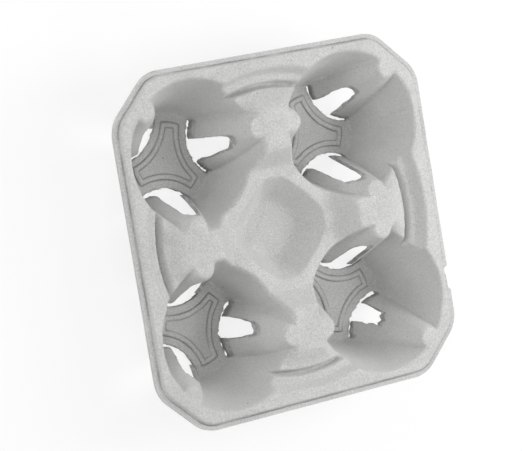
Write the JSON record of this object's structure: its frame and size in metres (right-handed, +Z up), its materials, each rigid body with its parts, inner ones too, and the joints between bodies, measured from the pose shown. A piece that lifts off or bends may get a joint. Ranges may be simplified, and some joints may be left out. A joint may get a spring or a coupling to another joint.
{
  "type": "moulded pulp cup carrier",
  "caption": "Square tray of moulded paper pulp with slanted corners, leaning wells gripped by hollow fins, grooved saddles between them and a centre pocket, for carrying takeaway cups.",
  "frame": {"origin": "under the middle of the tray, on the plane that its well floors rest on", "axes": "+Z up out of the open wells; X and Y along the straight sides of the rim"},
  "size_m": [0.21, 0.21, 0.049],
  "materials": {
    "pulp": "matt, fibrous"
  },
  "bodies": {
    "root": {"pulp_tray": "pulp"}
  },
  "joints": []
}
